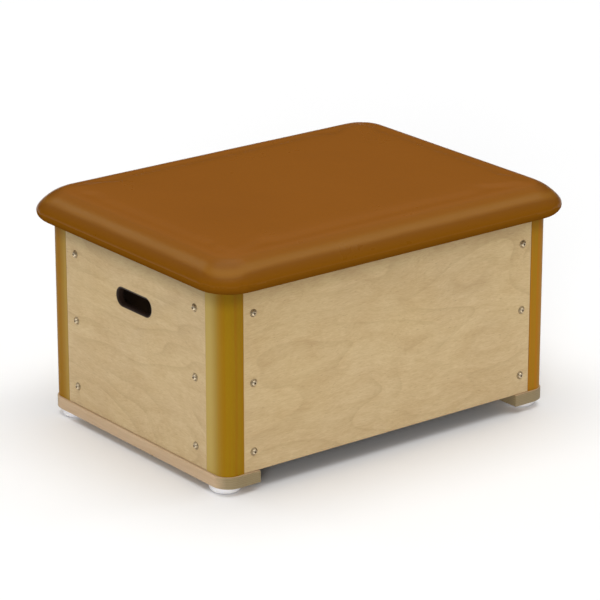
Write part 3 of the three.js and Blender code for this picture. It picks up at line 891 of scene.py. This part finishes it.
def leather_coat(name, tones, specular, sleek, matt):
    made, tree, shader, place = start_material(name, sleek, specular)
    shader.inputs["Specular Tint"].default_value = leather_sheen
    use = add_group(tree, signs_of_use, place, Smudging=5.0)
    pebble = add_node(tree, "ShaderNodeTexVoronoi", [("Vector", place), ("Scale", 620.0)],
                      feature="SMOOTH_F1").outputs["Distance"]
    facing = facing_xyz(tree)
    # Painted light: the ramp colours the leather by the way it faces.
    painted_light_ramp = add_node(tree, "ShaderNodeValToRGB", [("Fac", add_range(tree, facing["Z"], -1.0, 1.0))])
    stops = painted_light_ramp.color_ramp.elements
    slopes = list(tones)
    for slope in slopes[1:-1]:
        stops.new((slope + 1) / 2)
    stops[0].position, stops[-1].position = (slopes[0] + 1) / 2, (slopes[-1] + 1) / 2
    for stop, tone in zip(stops, tones.values()):
        stop.color = colour(*tone)
    # Painted shade on the crest round the corners.
    turn = add_math(tree, "ABSOLUTE", times(tree, facing["X"], facing["Y"]))
    corner_shade_share = times(tree, add_range(tree, turn, 0.02, 0.12), add_range(tree, facing["Z"], 0.78, 0.86))
    tone = add_mix(tree, corner_shade_share, painted_light_ramp.outputs["Color"], painted_corner_shade)
    drift = add_range(tree, add_noise(tree, place, 3.5, 4.0, 0.6), 0.4, 0.7, 0.0, 0.12)
    tone = add_mix(tree, drift, tone, leather_pore)
    tone = add_mix(tree, add_range(tree, pebble, 0.2, 0.9, 0.0, 0.12), tone, leather_pore)
    dull_sides = add_range(tree, facing["Z"], 0.4, 0.0, 0.0, 0.3)
    set_coat(tree, shader, tone, use, sleek, matt, dull_sides)
    fine = minus(tree, times(tree, add_noise(tree, place, 1500.0, 2.0), 0.3), times(tree, pebble, 0.6))
    height = plus(tree, fine, times(tree, add_noise(tree, place, 90.0, 4.0), 0.8))
    add_bump(tree, shader, height, 0.1 * MM, 0.6)
    return made


leather_finish = leather_coat("leather_finish", leather_tones_with_painted_light, 0.15, 0.27, 0.33)
leather_turned = leather_coat("leather_turned", turned_tones_with_painted_shade, 0.0, 0.7, 0.8)
leather_top.data.materials.clear()
for material in (leather_finish, leather_turned):
    leather_top.data.materials.append(material)
for face in leather_top.data.polygons:
    if face.center.z < widest_level + turned_reach and face.normal.z < turned_slope:
        face.material_index = 1
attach(leather_top, "root")
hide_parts("pad_cover")
print("leather", leather_finish.name, leather_turned.name)

# %% [markdown]
# Inside the leather lies the padding, one firm foam block that is cut out below for the board. It is never
# seen from outside, so a plain loft in the same form is enough, with the open cells of foam as its finish.

# %% Foam filling
foam_skin = 6 * MM
pocket_gap = 0.5 * MM
board_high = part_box("pad_board")[1]
pocket_half_x = board_high.x + pocket_gap
pocket_half_y = board_high.y + pocket_gap
pocket_corner = pad_corner - (pad_half_x - pocket_half_x)
outer_rings = pad_rings(foam_skin, foam_skin, crown)
pocket_rings = [rounded_ring(pocket_half_x, pocket_half_y, pocket_corner, z)
                for z in (board_high.z + pocket_gap, outer_rings[0][0].z)]

foam_finish, tree, shader, place = start_material("foam_finish", 0.95, 0.1)
foam_cells = add_node(tree, "ShaderNodeTexVoronoi", [("Vector", place), ("Scale", 420.0)]).outputs["Distance"]
foam_tone = add_mix(tree, foam_cells, colour(206, 196, 160), colour(232, 224, 196))
tree.links.new(foam_tone, shader.inputs["Base Color"])
add_bump(tree, shader, foam_cells, 0.6 * MM)
foam_filling = add_piece("foam_filling", loft_mesh("foam_filling", pocket_rings + outer_rings))
foam_filling.data.materials.append(foam_finish)
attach(foam_filling, "root")
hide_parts("pad_foam")
print("foam", len(foam_filling.data.polygons), "faces")

# %% [markdown]
# ## Screws
#
# Each panel is held by six dome-headed screws in cup washers. Turned metal is a profile spun round an
# axis, and the hexagon socket in the head is a ring whose radius follows the six flats. One mesh serves all
# of them, because they differ only in their place.

# %% Metal finishes
def metal_finish(name, metallic, tone, dark_tone, sleek, matt):
    made, tree, shader, place = start_material(name, sleek, 0.5, metallic)
    use = add_group(tree, signs_of_use, place, Smudging=220.0)
    tone = add_mix(tree, times(tree, use["Smudges"], 0.5), tone, dark_tone)
    set_coat(tree, shader, tone, use, sleek, matt)
    return made


nickel = metal_finish("nickel", 1.0, colour(232, 216, 186), colour(206, 188, 154), 0.38, 0.5)
washer_dull = metal_finish("washer_dull", 0.7, colour(176, 156, 122), colour(146, 126, 94), 0.45, 0.6)
# Painted shade for the screws' hollows: the socket, the ring round the head and the washer's foot.
painted_recess_shade = metal_finish("painted_recess_shade", 0.0, colour(106, 84, 54), colour(84, 64, 38), 0.6, 0.8)
print("metals", nickel.name, washer_dull.name, painted_recess_shade.name)


# %% Spinning a profile
def hexagon_radius(across_flats, angle):
    """How far the side of a hexagon is from its middle in one direction."""
    sixth = math.pi / 3
    return across_flats / 2 / math.cos((angle + sixth / 2) % sixth - sixth / 2)


def spin_mesh(name, bodies, segments=36):
    """Closed bodies of revolution about z. A profile row is (radius, z), or (flats, z, 'hex')."""
    built = bmesh.new()
    for profile in bodies:
        rows = []
        for row in profile:
            if row[0] == 0:
                rows.append([built.verts.new((0, 0, row[1]))])
                continue
            ring = []
            for i in range(segments):
                angle = 2 * math.pi * i / segments
                radius = hexagon_radius(row[0], angle) if len(row) > 2 else row[0]
                ring.append(built.verts.new((radius * math.cos(angle), radius * math.sin(angle), row[1])))
            rows.append(ring)
        if len(rows[0]) > 1:
            rows.append(rows[0])
        for low_row, high_row in zip(rows, rows[1:]):
            bridge(built, low_row, high_row)
    bmesh.ops.recalc_face_normals(built, faces=built.faces)
    return finish_mesh(built, name)


def dome_points(radius, base, height, inner, steps=7):
    """A dome's profile from its rim up to the socket's edge."""
    last = math.acos(inner / radius)
    return [
        (radius * math.cos(last * i / steps), base + height * math.sin(last * i / steps))
        for i in range(steps + 1)
    ]


# %% Panel screw in its cup washer
screw_low, screw_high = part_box("front_panel_screw_left_1")
washer_radius = (screw_high.x - screw_low.x) / 2
panel_face = side_low.y
screw_stand = panel_face - screw_low.y
shank_reach = screw_high.y - panel_face
head_radius = 5.3 * MM
socket_radius = 2.3 * MM
socket_flats = 3.4 * MM
socket_depth = 2.3 * MM
cup_lip = 1.8 * MM
cup_seat = 0.7 * MM
dome_base = cup_seat + 0.5 * MM
shank_radius = 2.25 * MM
point_length = 5 * MM

washer_profile = [
    (head_radius - 0.3 * MM, 0.1 * MM), (washer_radius, 0.1 * MM), (washer_radius, 0.35 * MM),
    (washer_radius - 0.5 * MM, 0.9 * MM), (washer_radius - 1.1 * MM, 1.5 * MM),
    (washer_radius - 1.5 * MM, cup_lip), (head_radius + 0.9 * MM, cup_lip - 0.05 * MM),
    (head_radius + 0.5 * MM, cup_lip - 0.4 * MM), (head_radius + 0.15 * MM, cup_seat),
    (head_radius - 0.3 * MM, cup_seat - 0.2 * MM),
]
head_profile = [
    (0, -shank_reach),
    (shank_radius, point_length - shank_reach),
    (shank_radius, cup_seat),
    (head_radius - 0.5 * MM, cup_seat + 0.05 * MM),
    *dome_points(head_radius, dome_base, screw_stand - dome_base, socket_radius),
    (socket_flats, screw_stand - 0.8 * MM, "hex"),
    (socket_flats, screw_stand - socket_depth, "hex"),
    (0, screw_stand - socket_depth - 0.4 * MM),
]
panel_screw_mesh = spin_mesh("panel_screw", [washer_profile, head_profile])
for material in (nickel, washer_dull, painted_recess_shade):
    panel_screw_mesh.materials.append(material)
print("panel screw", len(panel_screw_mesh.polygons), "faces, stands", round(screw_stand / MM, 2), "mm proud")

# %% [markdown]
# Head and lip are bright nickel and the washer's flank is dull. Painted shade darkens the socket, a ring
# round the head and the foot where the washer meets the wood. No two screws stop at the same angle.

# %% Shade and place the panel screws
for face in panel_screw_mesh.polygons:
    out, level = math.hypot(face.center.x, face.center.y), face.center.z
    in_socket = out < socket_radius - 0.2 * MM and 0 < level < screw_stand - 0.3 * MM
    in_ring = head_radius - 0.25 * MM < out < head_radius + 0.6 * MM and level < cup_lip - 0.3 * MM
    # Painted shade in the socket, round the head and at the washer's foot.
    if in_socket or in_ring:
        face.material_index = 2
    elif out > washer_radius - 1.2 * MM:
        face.material_index = 2 if level < 0.6 * MM else 1

screw_turn = 37
ways_out = {"front": Vector((0, -1, 0)), "back": Vector((0, 1, 0)),
            "left": Vector((-1, 0, 0)), "right": Vector((1, 0, 0))}
screw_count = 0
for wall, way in ways_out.items():
    face_distance = side_low.y if wall in ("front", "back") else end_low.x
    stand = way.to_track_quat("Z", "Y").to_matrix().to_4x4()
    for side in ("left", "right"):
        for level in (1, 2, 3):
            node_name = f"{wall}_panel_screw_{side}_{level}"
            low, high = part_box(node_name)
            middle = (low + high) / 2
            seat = middle - way * middle.dot(way) - way * face_distance
            turn = Matrix.Rotation(math.radians(screw_turn * screw_count), 4, "Z")
            screw = add_piece(f"{wall}_screw_{side}_{level}", panel_screw_mesh)
            screw.matrix_world = Matrix.Translation(seat) @ stand @ turn
            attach(screw, "root")
            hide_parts(node_name)
            screw_count += 1
print("panel screws", screw_count)

# %% The screws from below keep their shape and get the metal finish
screws_below = [n for n in nodes if n.endswith(("_foot_screw", "_rail_screw")) or n.startswith("top_screw")]
for name in screws_below:
    dress_node(name, nickel)
print("screws from below", len(screws_below))

# %% [markdown]
# ## Feet
#
# Four round feet of white rubber carry the rails. Each is a low dome with a flat on the floor and a deep
# recess for its screw, so it is spun from one profile. The material lets a little light in, which gives
# its cool, milky edge.

# %% Rubber finish
rubber_finish, tree, shader, place = start_material("rubber_finish", 0.5, 0.35)
use = add_group(tree, signs_of_use, place, Smudging=30.0, Dusting=12 * MM)
tone = add_mix(tree, use["Smudges"], colour(250, 249, 251), colour(243, 242, 245))
# Greyer and darker towards the floor, in patches.
tone = add_mix(tree, times(tree, use["Dust"], 0.2), tone, colour(206, 200, 192))
set_coat(tree, shader, tone, use, 0.42, 0.6)
shader.inputs["Subsurface Weight"].default_value = 0.25
shader.inputs["Subsurface Radius"].default_value = (4 * MM, 4 * MM, 5 * MM)
shader.inputs["Subsurface Scale"].default_value = 1.0
print("rubber", rubber_finish.name)

# %% The feet
foot_low, foot_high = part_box("front_left_foot")
foot_radius = (foot_high.x - foot_low.x) / 2
foot_top = foot_high.z - foot_low.z
dome_width = 8 * MM
dome_steps = 9
rim_height = 3 * MM
recess_radius = 9 * MM
recess_depth = 7 * MM
hole_radius = 3 * MM
foot_profile = [(hole_radius, recess_depth), (recess_radius - 0.5 * MM, recess_depth),
                (recess_radius, recess_depth - 0.5 * MM), (recess_radius, 0.6 * MM),
                (recess_radius + 0.6 * MM, 0)]
for i in range(dome_steps + 1):
    angle = math.pi / 2 * i / dome_steps
    foot_profile.append((foot_radius - dome_width * (1 - math.sin(angle)),
                         (foot_top - rim_height) * (1 - math.cos(angle))))
foot_profile += [(foot_radius, foot_top - 0.6 * MM), (foot_radius - 0.6 * MM, foot_top),
                 (hole_radius, foot_top)]
foot_mesh = spin_mesh("rubber_foot", [foot_profile], 48)
foot_mesh.materials.append(rubber_finish)
for corner in ("front_left", "front_right", "back_left", "back_right"):
    low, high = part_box(f"{corner}_foot")
    foot = add_piece(f"rubber_foot_{corner}", foot_mesh)
    foot.matrix_world = Matrix.Translation(((low.x + high.x) / 2, (low.y + high.y) / 2, low.z))
    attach(foot, "root")
    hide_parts(f"{corner}_foot")
print("feet of", round(2 * foot_radius / MM), "mm")

# %% Floor finish
floor_finish, tree, shader, place = start_material("floor_finish", 0.7, 0.2)
floor_tone = add_mix(tree, add_noise(tree, place, 1.5, 3.0), colour(249, 249, 249), colour(247, 247, 247))
tree.links.new(floor_tone, shader.inputs["Base Color"])
floor_mesh.materials.append(floor_finish)
print("floor", floor_finish.name)
